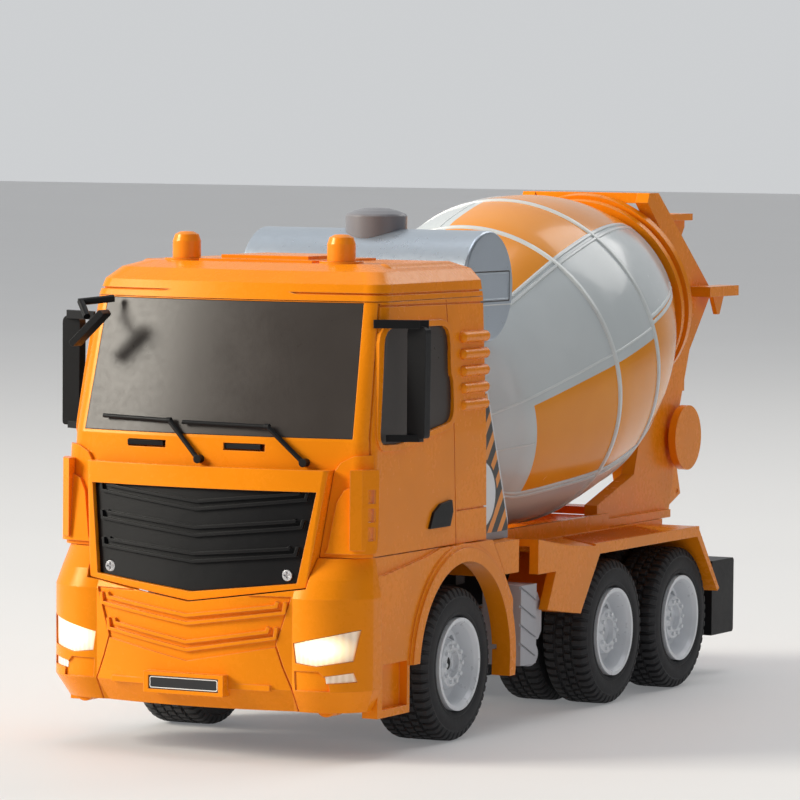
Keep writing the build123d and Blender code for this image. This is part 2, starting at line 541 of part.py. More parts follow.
with BuildPart() as front_bumper:
    plan_loft(BUMPER_LEVELS)
    plan_loft([(18.0, *BUMPER_LEVELS[0][1:]), *BUMPER_LEVELS[1:4], (78.0, *BUMPER_LEVELS[4][1:])], cut=2.4,
              mode=Mode.SUBTRACT)
    block(-60, 60, -196, -180, 15, 80, mode=Mode.SUBTRACT)
    block(-70, 70, -188, -180, 15, 80, mode=Mode.SUBTRACT)
    prism_y([(52.5, 120), (47.0, 65.6), (0, 59.1), (-47.0, 65.6), (-52.5, 120)], FRONT_Y, -160,
            mode=Mode.SUBTRACT)
    for lamp in (HEADLIGHT, FOG_LIGHT, flipped(HEADLIGHT), flipped(FOG_LIGHT)):
        prism_y(lamp, FRONT_Y, -185, mode=Mode.SUBTRACT)
    add(bumper_cuts, mode=Mode.SUBTRACT)
    add(bumper_gaps, mode=Mode.SUBTRACT)
    add(bumper_ribs)
    prism_y([(52.5, 120), (47.0, 65.6), (0, 59.1), (-47.0, 65.6), (-52.5, 120)], FRONT_Y, -160,
            mode=Mode.SUBTRACT)
    # number plate holder and the step bars beside it
    block(-17.1, 17.1, NOSE_Y, -213, 24.3, 32.4)
    block(-15.0, 15.0, NOSE_Y - 1, NOSE_Y + 1.2, 25.8, 30.9, mode=Mode.SUBTRACT)
    for side in (-1, 1):
        low, high = sorted((side * 17.1, side * 34))
        inner_y, outer_y = (-214.6, -213.0) if side > 0 else (-213.0, -214.6)
        prism_z([(low, -206), (high, -206), (high, outer_y), (low, inner_y)], 27.0, 29.2)
    # tow sockets under the skirt
    for x in (-52, 52):
        rod((x, -202, 21.5), (0, 1, 0), 4.2, 9)
with BuildPart() as number_plate:
    block(-14.9, 14.9, NOSE_Y + 0.5, NOSE_Y + 1.2, 25.9, 30.8)
with BuildPart() as headlights:
    plan_loft(BUMPER_LEVELS, cut=0.5)
    plan_loft(BUMPER_LEVELS, cut=2.6, mode=Mode.SUBTRACT)
    with BuildSketch(Plane.XZ.offset(150)) as lamps:
        for lamp in (HEADLIGHT, flipped(HEADLIGHT)):
            with BuildLine():
                Polyline(*lamp, close=True)
            make_face()
        offset(amount=-GAP)
    extrude(lamps.sketch, amount=75, mode=Mode.INTERSECT)
    block(-70, 70, -193, -180, 30, 60, mode=Mode.SUBTRACT)
with BuildPart() as fog_lights:
    plan_loft(BUMPER_LEVELS, cut=0.5)
    plan_loft(BUMPER_LEVELS, cut=2.6, mode=Mode.SUBTRACT)
    with BuildSketch(Plane.XZ.offset(150)) as lamps:
        for lamp in (FOG_LIGHT, flipped(FOG_LIGHT)):
            with BuildLine():
                Polyline(*lamp, close=True)
            make_face()
        offset(amount=-GAP)
    extrude(lamps.sketch, amount=75, mode=Mode.INTERSECT)
    block(-70, 70, -196, -180, 20, 40, mode=Mode.SUBTRACT)
with BuildPart() as door_handles:
    for side in (-1, 1):
        low, high = sorted((side * 63.0, side * 66.0))
        grip = [(-143.5, 84.5), (-126, 84.5), (-123.5, 90), (-124.5, 94.5), (-134, 93.5), (-140, 90.5)]
        prism_x(grip, low, high)
    plan_loft(CAB_LEVELS, mode=Mode.SUBTRACT)
with BuildPart() as wipers:
    for pivot_x, elbow, tip in ((-2.9, (-17, 126), (-48, 126.6)), (40.4, (25, 125), (-11, 125.6))):
        corners = [Vector(x, front_y(CAB_LEVELS, x, z) - 2.0, z) for x, z in (tip, elbow, (pivot_x, 112))]
        rod(corners[0], corners[1] - corners[0], 0.8, (corners[1] - corners[0]).length)
        rod(corners[1], corners[2] - corners[1], 0.95, (corners[2] - corners[1]).length)
        rod(corners[1] - Vector(0.9, 0, 0), (1, 0, 0), 1.15, 1.8)
        rod(corners[2] - Vector(0, 0.9, 0), (0, 1, 0), 1.6, 3.2)
    plan_loft(CAB_LEVELS, mode=Mode.SUBTRACT)
    for x in COWL_SLOTS:
        bar_y = front_y(CAB_LEVELS, x, 117)
        block(x - 8.6, x + 6.8, bar_y + 0.3, bar_y + 2.4, 116.2, 118.1)
panel_outer = [(45, 76), (46.8, 77), (51.4, 108.0), (54.5, 112.5), (59.5, 115.0), (70, 115.6), (70, 76)]
panel_inner = [(50.5, 78.5), (51.5, 80.5), (54.2, 97.5), (56.8, 102.3), (60.5, 104.0), (70, 104.4),
               (70, 78.5)]
corner_front = surface_patch(CAB_LEVELS, -1.3, 0.2, [panel_outer, flipped(panel_outer)])
corner_layer = surface_patch(CAB_LEVELS, -2.5, -1.0, [panel_inner, flipped(panel_inner)])
with BuildPart() as deflectors:
    add(corner_front)
    add(corner_layer)
    for side in (-1, 1):
        wing = [(side * x, y) for x, y in ((60.5, -200.4), (64.5, -198.0), (68.0, -191.0), (68.0, -189.0),
                                           (65.0, -189.0), (60.5, -196.0))]
        prism_z(wing, 80.0, 110.0)
    block(-75, 75, -189.2, -60, 60, 130, mode=Mode.SUBTRACT)
    for side in (-1, 1):
        for z in (83.5, 90.5, 97.5):
            low, high = sorted((side * 65.7, side * 67.2))
            block(low, high, FRONT_Y, -180, z, z + 5, mode=Mode.SUBTRACT)
    plan_loft(CAB_LEVELS, mode=Mode.SUBTRACT)
    prism_y([(x * 1.006, z) for x, z in MASK], FRONT_Y, -190, mode=Mode.SUBTRACT)
    prism_x(DOOR_FRONT + [(-100, 77), (-100, 171)], -80, 80, mode=Mode.SUBTRACT)
with BuildPart() as mirrors:
    for side in (-1, 1):
        back = rounded([(71.2, 121.0, 1.5), (78.6, 121.0, 1.5), (78.8, 163.6, 3), (71.0, 163.6, 3)])
        with BuildSketch(Plane.XZ.offset(170.2)):
            Polygon(*[(side * x, z) for x, z in back], align=None)
        extrude(amount=4.6)
        prism_z([(side * x, y) for x, y in ((60.5, -182.2), (76.6, -175.6), (78.4, -171.4), (60.5, -178.6))],
                162.4, 165.6)
        prism_z([(side * x, y) for x, y in ((60.5, -183.0), (76.4, -174.6), (76.4, -171.0), (60.5, -179.4))],
                119.8, 122.4)
    # the extra front-view mirror on the right, on a bent arm
    rod((-50, -185, 171), (-0.72, -0.68, -0.1), 1.4, 14)
    rod((-59.6, -193.8, 169.9), (0.6, -0.5, -0.62), 1.4, 9)
    tilted = rounded([(-58.6, 152.6, 0.8), (-44.9, 165.4, 0.8), (-46.6, 167.4, 0.8), (-60.3, 154.6, 0.8)])
    with BuildSketch(Plane.XZ.offset(195.5)):
        Polygon(*tilted, align=None)
    extrude(amount=6.5)
    plan_loft(CAB_LEVELS, cut=-0.8, mode=Mode.SUBTRACT)
with BuildPart() as front_fenders:
    for side in (-1, 1):
        low, high = sorted((side * 60, side * 66.5))
        inner_low, inner_high = sorted((side * 60, side * 65))
        prism_x([(-160, 34), (-70, 34), (-70, 52), (-89, 76.6), (-160, 76.6)], inner_low, inner_high)
        rear_skin = [(-160, 34), (-70, 34), (-70, 52), (-89, 76.6), (-134, 76.6), (-147, 74.0), (-160, 72.4)]
        prism_x(rear_skin, low, high)
        block(low, high, -76, -70, 21.8, 32)
        flare_low, flare_high = sorted((side * 62, side * BODY_HALF))
        rod((flare_low, FRONT_AXLE_Y, TYRE_R), (1, 0, 0), 45.4, 6)
        edge_low, edge_high = sorted((side * 62, side * 67.2))
        rod((edge_low, FRONT_AXLE_Y, TYRE_R), (1, 0, 0), 47.0, edge_high - edge_low)
        rod((side * 34, FRONT_AXLE_Y, TYRE_R), (side, 0, 0), 40, 40, mode=Mode.SUBTRACT)
        block(low - 2, high + 2, FRONT_AXLE_Y - 50, FRONT_AXLE_Y + 39.8, -20, 34, mode=Mode.SUBTRACT)
        block(low - 2, high + 2, FRONT_AXLE_Y, FRONT_AXLE_Y + 50, -20, 21.8, mode=Mode.SUBTRACT)
        front_core = [(-187.8, 16), (-161, 16), (-161, 36), (-154, 41), (-154, 76.6), (-187.8, 76.6)]
        prism_x(front_core, inner_low, inner_high)
        prism_x([*front_core[:4], (-154, 73.1), (-183, 69.6), (-187.8, 70.4)], low, high)
        # step recess in the lower part
        recess_low, recess_high = sorted((side * 63, side * 70))
        block(recess_low, recess_high, -184, -163, 19, 36, mode=Mode.SUBTRACT)
        # inner flange that the screws of the chassis take hold of
        flange_low, flange_high = sorted((side * 50, side * 60))
        block(flange_low, flange_high, -186, -176, 70, 73)

# ---- water tank and drum cradle --------------------------------------------------------------
with BuildPart() as water_tank:
    rod((-TANK_HALF, TANK_Y, TANK_Z), (1, 0, 0), TANK_R, 2 * TANK_HALF)
    fillet(water_tank.edges().filter_by(GeomType.CIRCLE), 1.2)
with BuildPart() as tank_cap:
    cap = [(0, 186), (12.4, 186), (12.4, 202.0), (11.8, 202.8), (9, 204.0), (5, 205.0), (0, 205.3)]
    lathe(cap, Plane.XZ.offset(-TANK_Y), Axis((0, TANK_Y, 0), (0, 0, 1)))
    rod((-20, TANK_Y, TANK_Z), (1, 0, 0), TANK_R + 0.02, 40, mode=Mode.SUBTRACT)
with BuildPart() as drum_cradle:
    block(-58, 58, -90, -86, RAIL_TOP, 150)
    block(-58, 58, -86, -52, RAIL_TOP, 66)
    for side in (-1, 1):
        low, high = sorted((side * 55.5, side * 58.5))
        prism_x([(-90, RAIL_TOP), (-60, RAIL_TOP), (-60, 83), (-79.7, 135), (-90, 135)], low, high)
        low, high = sorted((side * 54, side * 66))
        prism_x([(-64, RAIL_TOP), (-64, 75), (-86.5, 75), (-76.5, RAIL_TOP)], low, high)
        low, high = sorted((side * 33, side * 38))
        prism_x([(-88, 132), (-70, 140), (-50, 152), (-50, 165), (-88, 165)], low, high)
    rod((-60, TANK_Y, TANK_Z), (1, 0, 0), TANK_R + 0.05, 120, mode=Mode.SUBTRACT)
    rod(drum_point(-70, 0), DRUM_DIR, 9, 27)
    block(-58, 58, -100, -90, 60, 150, mode=Mode.SUBTRACT)
    rod(drum_point(-56, 0), DRUM_DIR, 4 + RUNNING, 20, mode=Mode.SUBTRACT)
with BuildPart() as hazard_panels:
    for side in (-1, 1):
        low, high = sorted((side * 58.5, side * 59.3))
        prism_x([(-88.5, 75.2), (-60.6, 75.2), (-60.6, 83), (-80, 134.4), (-88.5, 134.4)], low, high)

# ---- drum ------------------------------------------------------------------------------------
DRUM_OUTLINE = [(-34, 13), (-33, 26), (-29, 33), (-22, 39), (-10, 46), (0, 51.5), (27, 58.6), (55, 64.6),
                (73, 66.0), (91.7, 65.8), (108, 63.6), (124, 59.6), (138, 54.8), (150, 49.4), (158, 45.6),
                (163.5, 43.5), (164.2, NECK_R), (MOUTH_S, NECK_R)]
with BuildPart() as drum_shell:
    hollow = [(s, r - DRUM_WALL) for s, r in DRUM_OUTLINE[2:-2]]
    hollow = [(-30.5, 0), *hollow, (162.6, NECK_R - DRUM_WALL), (MOUTH_S + 1, NECK_R - DRUM_WALL),
              (MOUTH_S + 1, 0)]
    lathe([(-34, 0), *DRUM_OUTLINE, (MOUTH_S, 0)], DRUM_PLANE, DRUM_AXIS)
    lathe(hollow, DRUM_PLANE, DRUM_AXIS, mode=Mode.SUBTRACT)
    for s, r in ((55, 64.2), (91.7, 65.4)):
        ring = [(s - 0.9, r - 0.6), (s + 0.9, r - 0.6), (s + 0.9, r + 1.0), (s - 0.9, r + 1.0)]
        lathe(ring, DRUM_PLANE, DRUM_AXIS)
    rod(drum_point(-54, 0), DRUM_DIR, 4, 22)


def drum_wall_r(s):
    """Inner radius of the drum at s along its axis."""
    for (low_s, low_r), (high_s, high_r) in zip(DRUM_OUTLINE, DRUM_OUTLINE[1:]):
        if low_s <= s <= high_s:
            return low_r + (high_r - low_r) * (s - low_s) / (high_s - low_s) - DRUM_WALL
    return 0


PADDLE_LEN = 8.0
PADDLE_DEEP = 12.0
PADDLE_T = 2.0
with BuildPart() as mixing_paddles:
    for step in range(14):
        s = 6 + 10 * step
        turn = radians(50 * step)
        outwards = Vector(sin(turn), -sin(TILT) * cos(turn), cos(TILT) * cos(turn))
        normal = Vector(*DRUM_DIR).cross(outwards)
        plane = Plane(origin=Vector(*DRUM_O) - normal * (PADDLE_T / 2), x_dir=DRUM_DIR, z_dir=normal)
        near, far = drum_wall_r(s) - 0.1, drum_wall_r(s + PADDLE_LEN) - 0.1
        with BuildSketch(plane):
            with BuildLine():
                Polyline((s, near - PADDLE_DEEP), (s + PADDLE_LEN, far - PADDLE_DEEP), (s + PADDLE_LEN, far),
                         (s, near), close=True)
            make_face()
        extrude(amount=PADDLE_T)
DRUM_TEETH = 60
DRUM_PINION_TEETH = 14
GEAR_S = -40.0
CENTRES = GEAR_MODULE * (DRUM_TEETH + DRUM_PINION_TEETH) / 2
with BuildPart() as drum_gear:
    gear_plane = Plane(origin=drum_point(GEAR_S, 0), x_dir=(0, sin(TILT), -cos(TILT)), z_dir=DRUM_DIR)
    spur_gear(gear_plane, DRUM_TEETH, 4)
    rod(drum_point(GEAR_S + 4, 0), DRUM_DIR, 12.5, 2)
    rod(drum_point(GEAR_S - 1, 0), DRUM_DIR, 4.0, 8, mode=Mode.SUBTRACT)
with BuildPart() as drum_pinion:
    half_pitch = radians(180 / DRUM_PINION_TEETH)
    down = Vector(0, sin(TILT), -cos(TILT))
    across = Vector(*DRUM_DIR).cross(down)
    pinion_x = down * cos(half_pitch) + across * sin(half_pitch)
    pinion_plane = Plane(origin=drum_point(GEAR_S, -CENTRES), x_dir=pinion_x, z_dir=DRUM_DIR)
    spur_gear(pinion_plane, DRUM_PINION_TEETH, 4, 1.0)
    rod(drum_point(GEAR_S - 8, -CENTRES), DRUM_DIR, 1.0, 12)
with BuildPart() as drum_motor:
    rod(drum_point(-62, -CENTRES), DRUM_DIR, 9, 20)
    rod(drum_point(-52, -CENTRES), DRUM_DIR, 1.0 + RUNNING, 12, mode=Mode.SUBTRACT)

# ---- rear frame, hopper and chute ------------------------------------------------------------
POST_IN = POST_OUT - POST_T
CHUTE_PIVOT = (0, 186.0, 112.0)
with BuildPart() as rear_frame:
    post = [(89, 77), (89, 67.6), (164.5, 67.6), (169, 85), (176, 116), (186, 140), (208, 163), (208, 167),
            (150, 209.7), (140.5, 209.7), (138.5, 205.5), (186, 166), (170, 151), (153, 129), (134.5, 108),
            (127, 88)]
    for side in (-1, 1):
        low, high = sorted((side * POST_IN, side * POST_OUT))
        prism_x(post, low, high)
        low, high = sorted((side * POST_OUT, side * 33.5))
        block(low, high, 92, 160, 67.6, 71)
        # step plates at the elbow, with a gusset under each
        low, high = sorted((side * POST_OUT, side * 40.0))
        block(low, high, 186, TAIL_Y, 163.5, 168)
        low, high = sorted((side * 36.0, side * 38.0))
        prism_x([(194, 163.5), (206, 163.5), (201.5, 155.5), (199, 155.5)], low, high)
    block(-POST_IN, POST_IN, 140.5, 149.5, 205.2, 209.7)
    block(-POST_IN, POST_IN, 152, 164, 67.6, 71)
    block(-POST_IN, POST_IN, 163, 172, 100, 106)
    # collar round the drum's neck: two tracks with a groove between them
    track = [(166, NECK_R + 0.5), (166, 45.5), (169, 45.5), (169, 43.5), (171.5, 43.5), (171.5, 46.5),
             (175, 46.5), (175, NECK_R + 0.5)]
    lathe(track, DRUM_PLANE, DRUM_AXIS)
    block(-9, 9, 135.5, 142, 203.2, 208)
    rod(drum_point(140, 0), DRUM_DIR, NECK_R + 0.5, 46, mode=Mode.SUBTRACT)
    # chute bracket with its upright pin
    block(-5, 5, 172, CHUTE_PIVOT[1], 100, 104)
    rod((0, CHUTE_PIVOT[1], 100), (0, 0, 1), 5, 4)
    rod((0, CHUTE_PIVOT[1], 104), (0, 0, 1), 3, 9)
with BuildPart() as side_discs:
    for side in (-1, 1):
        rod((side * 33.0, 172.0, 102), (side, 0, 0), 14.2, 3.4)
        rod((side * (POST_OUT + 0.02), 167.0, 102), (side, 0, 0), 4, 2.7)
with BuildPart() as hopper:
    outer = [(163, 178), (161, 200), (198, 200), (198, 194), (186, 180)]
    prism_x(outer, -22, 22)
    prism_x([(165.4, 177), (163.4, 201), (196, 201), (196, 195), (184, 179.5)], -20, 20, mode=Mode.SUBTRACT)
    prism_x([(157, 197), (157, 200), (202, 200), (202, 197)], -24.2, 24.2)
    prism_x([(163.4, 196), (163.4, 201), (196, 201), (196, 196)], -20, 20, mode=Mode.SUBTRACT)
    prism_x([(165.4, 170), (165.4, 181), (184, 181), (180, 170)], -20, 20, mode=Mode.SUBTRACT)
with BuildPart() as discharge_trough:
    prism_x([(172, 150), (172, 128), (186, 121), (200, 121), (200, 126), (184, 150)], -22, 22)
    prism_x([(170, 151), (170, 130.5), (186.5, 123.2), (201, 119), (201, 151)], -20, 20, mode=Mode.SUBTRACT)
    rod((0, CHUTE_PIVOT[1] + 2, 115), (0, 0, 1), 6, 12, mode=Mode.SUBTRACT)
CHUTE_FALL = 70.0          # degrees below level
CHUTE_LEN = 40.0
FALL = radians(CHUTE_FALL)
CHUTE_DIR = Vector(0, cos(FALL), -sin(FALL))
CHUTE_OUT = Vector(0, sin(FALL), cos(FALL))      # towards the open side of the trough
CHUTE_START = Vector(0, CHUTE_PIVOT[1] + 12, CHUTE_PIVOT[2] - 3)
CHUTE_PLANE = Plane(origin=CHUTE_START, x_dir=(1, 0, 0), z_dir=CHUTE_DIR)
HINGE_T = 37.5             # extension hinge, along the chute
HINGE_OUT = 3.4            # and towards its open side
HINGE = CHUTE_START + CHUTE_DIR * HINGE_T + CHUTE_OUT * HINGE_OUT
with BuildPart() as chute:
    with BuildSketch(CHUTE_PLANE) as trough:
        Rectangle(26, 13)
        with Locations((0, -2)):
            Rectangle(23, 13, mode=Mode.SUBTRACT)
    extrude(trough.sketch, amount=CHUTE_LEN)
    rod((0, CHUTE_PIVOT[1], 104.3), (0, 0, 1), 7, 7)
    block(-6, 6, CHUTE_PIVOT[1], CHUTE_PIVOT[1] + 9, 104.3, 108)
    rod((0, CHUTE_PIVOT[1], 100), (0, 0, 1), 3 + RUNNING, 20, mode=Mode.SUBTRACT)
    rod((-13, HINGE.Y, HINGE.Z), (1, 0, 0), 1.0 + RUNNING, 26, mode=Mode.SUBTRACT)
with BuildPart() as chute_extension:
    with BuildSketch(CHUTE_PLANE.offset(8)) as trough:
        with Locations((0, -HINGE_OUT)):
            Rectangle(21.4, 5.2)
        with Locations((0, -HINGE_OUT + 1.4)):
            Rectangle(18.6, 5.2, mode=Mode.SUBTRACT)
    extrude(trough.sketch, amount=HINGE_T - 8)
    rod((-12.6, HINGE.Y, HINGE.Z), (1, 0, 0), 1.0, 25.2)

# ---- rear deck, side equipment and bumper ----------------------------------------------------
with BuildPart() as rear_deck:
    block(-DECK_IN, DECK_IN, -50, 150, RAIL_TOP, RAIL_TOP + 2.5)
    fender = [(5.3, DECK_Z), (111.5, DECK_Z), (134.6, 40), (132.4, 39), (110.0, 64), (9.5, 64), (-9, 41.0),
              (-15.7, 41.8)]
    skirt = [(-50, 74), (-20, 69.5), (5.3, DECK_Z), (-15.7, 41.8), (-41, 45), (-33, 60), (-50, 60)]
    for side in (-1, 1):
        low, high = sorted((side * DECK_IN, side * BODY_HALF))
        prism_x(fender, low, high)
        low, high = sorted((side * 64, side * BODY_HALF))
        prism_x(skirt, low, high)
        low, high = sorted((side * DECK_IN, side * BODY_HALF))
        lip = [(-50, 71), (-50, 74), (-20, 69.5), (5.3, DECK_Z), (9.5, 64), (5.3, 64), (-20, 66)]
        prism_x(lip, low, high)
        low, high = sorted((side * DECK_IN, side * (DECK_IN + 2.5)))
        block(low, high, -50, 88, RAIL_TOP, 74)
        low, high = sorted((side * DECK_IN, side * 50))
        block(low, high, 111, 150, 62, 65)
    block(-DECK_IN, DECK_IN, 88.5, 150, RAIL_TOP + 2.5, 67.5)
    # raised lip round the fenders' outer edge
    for side in (-1, 1):
        low, high = sorted((side * 66.4, side * BODY_HALF))
        rim = [(5.0, DECK_Z - 1), (5.3, DECK_Z + 0.9), (111.8, DECK_Z + 0.9), (112.2, DECK_Z - 1)]
        prism_x(rim, low, high)
with BuildPart() as battery_box:
    block(48, 65, -59.5, -45, 24, 56)
    prism_x([(-45, 33), (-45, 52), (-40, 52), (-36, 46), (-36, 36), (-39, 33)], 50, 63)
    for z in (28.5, 36, 43.5, 51):
        prism_x([(-60, z + 4), (-60, z + 5), (-44, z - 2), (-44, z - 3)], 64.2, 66, mode=Mode.SUBTRACT)
    block(17, 48, -56, -48, 42, 46)
with BuildPart() as air_tank:
    rod((48, -39.6, 27.0), (1, 0, 0), 5.2, 14)
    fillet(air_tank.edges().filter_by(GeomType.CIRCLE).sort_by(Axis.X)[-1:], 3.0)
    block(50, 56, -45, -41, 24.5, 30)
with BuildPart() as fuel_tank:
    prism_x([(-59.5, 26), (-59.5, 54), (-37, 54), (-37, 26)], -63.8, -46, round_by=4)
    block(-46, -17, -52, -44, 42, 46)
with BuildPart() as rear_bumper:
    block(-58, 58, 150, 174, 17.5, 50)
    block(-52, 52, 149, 166, 15, 44, mode=Mode.SUBTRACT)
    block(-17, 17, 148, 152, 44, 50)
    for side in (-1, 1):
        low, high = sorted((side * 38, side * 54))
        block(low, high, 172.5, 175, 28, 38, mode=Mode.SUBTRACT)
    chamfer(rear_bumper.faces().sort_by(Axis.Y)[-1].edges().filter_by(Axis.X), 1.0)
with BuildPart() as tail_lights:
    for side in (-1, 1):
        low, high = sorted((side * 38.2, side * 53.8))
        block(low, high, 172.5, 174.4, 28.2, 37.8)

pieces = {
    "chassis_frame": chassis_frame, **front_wheels, **tandem, "tie_rod": tie_rod, "axle_gear": axle_gear,
    "drive_pinion": drive_pinion, "drive_motor": drive_motor, "gearbox_cover": gearbox_cover,
    "battery_pack": battery_pack, "circuit_board": circuit_board, "power_switch": power_switch,
    "steering_servo": steering_servo, "cab_shell": cab_shell, "windshield": windshield,
    "side_windows": side_windows, "roof_panel": roof_panel, "beacons": beacons,
    "grille_surround": grille_surround, "grille": grille, "grille_screws": grille_screws,
    "front_bumper": front_bumper, "number_plate": number_plate, "headlights": headlights,
    "fog_lights": fog_lights, "door_handles": door_handles, "wipers": wipers, "deflectors": deflectors,
    "mirrors": mirrors, "front_fenders": front_fenders,
    "water_tank": water_tank, "tank_cap": tank_cap, "drum_cradle": drum_cradle,
    "hazard_panels": hazard_panels, "drum_shell": drum_shell, "mixing_paddles": mixing_paddles,
    "drum_gear": drum_gear, "drum_pinion": drum_pinion, "drum_motor": drum_motor,
    "rear_frame": rear_frame, "side_discs": side_discs, "hopper": hopper,
    "discharge_trough": discharge_trough, "chute": chute, "chute_extension": chute_extension,
    "rear_deck": rear_deck, "battery_box": battery_box, "air_tank": air_tank, "fuel_tank": fuel_tank,
    "rear_bumper": rear_bumper, "tail_lights": tail_lights,
}
for name, piece in pieces.items():
    piece.part.label = name
    export_step(piece.part, f"parts/{name}.step")
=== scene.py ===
import json
from math import cos, pi, radians, sin

import bmesh
import bpy
from mathutils import Matrix, Vector


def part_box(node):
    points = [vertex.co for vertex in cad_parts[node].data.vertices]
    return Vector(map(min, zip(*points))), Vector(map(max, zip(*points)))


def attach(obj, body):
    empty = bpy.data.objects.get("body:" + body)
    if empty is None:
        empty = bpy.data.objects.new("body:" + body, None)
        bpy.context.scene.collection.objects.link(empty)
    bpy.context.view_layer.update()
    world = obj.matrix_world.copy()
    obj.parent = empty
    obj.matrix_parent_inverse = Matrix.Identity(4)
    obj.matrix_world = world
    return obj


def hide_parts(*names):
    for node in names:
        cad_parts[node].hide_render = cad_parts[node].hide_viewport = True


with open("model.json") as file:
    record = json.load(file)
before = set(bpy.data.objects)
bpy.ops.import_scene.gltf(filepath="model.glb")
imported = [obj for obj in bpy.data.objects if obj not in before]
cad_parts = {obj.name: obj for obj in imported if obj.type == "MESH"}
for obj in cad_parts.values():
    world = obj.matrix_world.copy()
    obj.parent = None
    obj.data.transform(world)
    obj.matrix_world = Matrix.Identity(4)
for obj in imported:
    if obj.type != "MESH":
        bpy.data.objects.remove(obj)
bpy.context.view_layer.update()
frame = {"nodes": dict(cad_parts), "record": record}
nodes = frame["nodes"]

# Coordinates are metres unless a name or comment says millimetres.
MM = 0.001
TYRE_R = 0.030                  # wheel centres lie this high
TILT = radians(14.8)            # the drum's axis above level
DRUM_O = Vector((0, -0.019, 0.11966))
DRUM_DIR = Vector((0, cos(TILT), sin(TILT)))
DRUM_UP = Vector((0, -sin(TILT), cos(TILT)))


# ---- camera, light and backdrop --------------------------------------------------------
AZIMUTH, PITCH, ROLL = radians(26.652), radians(3.194), radians(0.547)
CAMERA_PLACE = (0.91523, -1.86245, 0.24078)
look = Vector((-sin(AZIMUTH) * cos(PITCH), cos(AZIMUTH) * cos(PITCH), -sin(PITCH)))
across = Vector((cos(AZIMUTH), sin(AZIMUTH), 0))
upright = across.cross(look)
cam_x = cos(ROLL) * across + sin(ROLL) * upright
cam_y = -sin(ROLL) * across + cos(ROLL) * upright
camera_data = bpy.data.cameras.new("camera")
camera_data.lens = 226.5
camera_data.sensor_width = 36
camera_data.clip_start = 0.1
camera_data.clip_end = 50
camera = bpy.data.objects.new("camera", camera_data)
camera.matrix_world = Matrix.Translation(CAMERA_PLACE) @ Matrix(
    [[cam_x[i], cam_y[i], -look[i]] for i in range(3)]).to_4x4()
bpy.context.scene.collection.objects.link(camera)
bpy.context.scene.camera = camera
bpy.context.scene.view_settings.view_transform = "Standard"


def area_light(name, place, target, size, watts, colour):
    """A square soft box at place, facing target."""
    data = bpy.data.lights.new(name, "AREA")
    data.shape = "SQUARE"
    data.size = size
    data.energy = watts
    data.color = colour
    lamp = bpy.data.objects.new(name, data)
    lamp.matrix_world = (Matrix.Translation(place)
                         @ (Vector(target) - Vector(place)).to_track_quat("-Z", "Y").to_matrix().to_4x4())
    bpy.context.scene.collection.objects.link(lamp)


area_light("key", (-2.0, -1.6, 1.25), (0, -0.1, 0.12), 1.1, 92, (1.0, 0.95, 0.84))
area_light("fill", (2.2, -1.0, 0.9), (0, 0, 0.1), 1.6, 8, (0.95, 0.97, 1.0))
area_light("back", (0.6, 1.9, 1.7), (0, 0.05, 0.15), 1.2, 12, (1.0, 0.98, 0.95))
area_light("top", (0.1, 0.1, 2.4), (0, 0, 0), 1.4, 13, (0.95, 0.97, 1.0))
world = bpy.data.worlds.new("studio")
bpy.context.scene.world = world
world.use_nodes = True
backdrop = world.node_tree.nodes["Background"]
direction = world.node_tree.nodes.new("ShaderNodeTexCoord").outputs["Generated"]
# a pale wall behind and above, a darker one on the side the truck faces
PALE_SIDE = (-0.80, 0.40, 0.45)
DIM, PALE = 0.10, 0.66          # strengths, blended between these two readings along PALE_SIDE
BLEND_FROM, BLEND_TO = 0.05, 0.65
towards_wall = world.node_tree.nodes.new("ShaderNodeVectorMath")
towards_wall.operation = "DOT_PRODUCT"
towards_wall.inputs[1].default_value = PALE_SIDE
world.node_tree.links.new(direction, towards_wall.inputs[0])
fade = world.node_tree.nodes.new("ShaderNodeMapRange")
for index, value in enumerate((BLEND_FROM, BLEND_TO, DIM, PALE), 1):
    fade.inputs[index].default_value = value
world.node_tree.links.new(towards_wall.outputs["Value"], fade.inputs[0])
world.node_tree.links.new(fade.outputs[0], backdrop.inputs["Strength"])
backdrop.inputs["Color"].default_value = (0.93, 0.95, 0.97, 1)


# ---- materials -------------------------------------------------------------------------
class Nodes:
    """A short way to write a node tree."""

    def __init__(self, name):
        self.material = bpy.data.materials.new(name)
        self.material.use_nodes = True
        self.tree = self.material.node_tree
        self.shader = self.tree.nodes["Principled BSDF"]
        self.coords = self.tree.nodes.new("ShaderNodeTexCoord").outputs["Object"]

    def set(self, socket, value):
        if isinstance(value, bpy.types.NodeSocket):
            self.tree.links.new(value, socket)
        else:
            socket.default_value = value

    def add(self, kind, output, inputs, **settings):
        node = self.tree.nodes.new("ShaderNode" + kind)
        for key, value in settings.items():
            setattr(node, key, value)
        for key, value in inputs.items():
            self.set(node.inputs[key], value)
        return node.outputs[output]

    def math(self, operation, a, b=0.0, c=0.0):
        return self.add("Math", 0, {0: a, 1: b, 2: c}, operation=operation)

    def ramp(self, value, low, high, to_low, to_high):
        return self.add("MapRange", 0, {0: value, 1: low, 2: high, 3: to_low, 4: to_high})

    def mix(self, share, a, b):
        node = self.tree.nodes.new("ShaderNodeMix")
        node.data_type = "RGBA"
        self.set(node.inputs[0], share)
        self.set(node.inputs[6], a)
        self.set(node.inputs[7], b)
        return node.outputs[2]

    def noise(self, scale, detail=2.0, coords=None):
        return self.add("TexNoise", 0, {"Vector": coords or self.coords, "Scale": scale, "Detail": detail})


def rgba(colour, gain=1.0):
    return (*[min(1.0, c * gain) for c in colour], 1.0)


